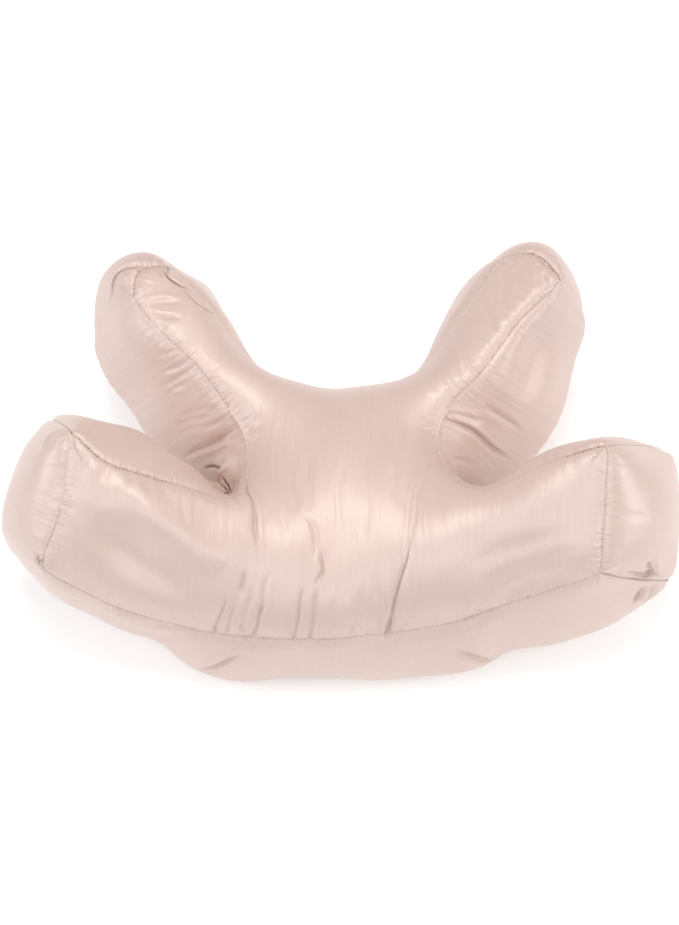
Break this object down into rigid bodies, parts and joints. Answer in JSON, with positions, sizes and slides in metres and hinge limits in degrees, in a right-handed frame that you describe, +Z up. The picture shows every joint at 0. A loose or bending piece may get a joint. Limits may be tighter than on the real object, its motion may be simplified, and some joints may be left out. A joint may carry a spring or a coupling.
{
  "type": "anti-wrinkle pillow",
  "caption": "Stuffed satin head pillow with a low seat, thick rising front arms and thinner rear arms, so the face stays clear of the bed.",
  "frame": {"origin": "centre of the plan outline, on the surface the pillow lies on", "axes": "+X across the pillow towards its right front arm, +Y from the front bolster towards the rear arms, +Z up from the surface"},
  "size_m": [0.5334, 0.3734, 0.179],
  "materials": {
    "satin": "blush satin weave with a soft sheen"
  },
  "bodies": {
    "root": {"pillow": "satin"}
  },
  "joints": []
}
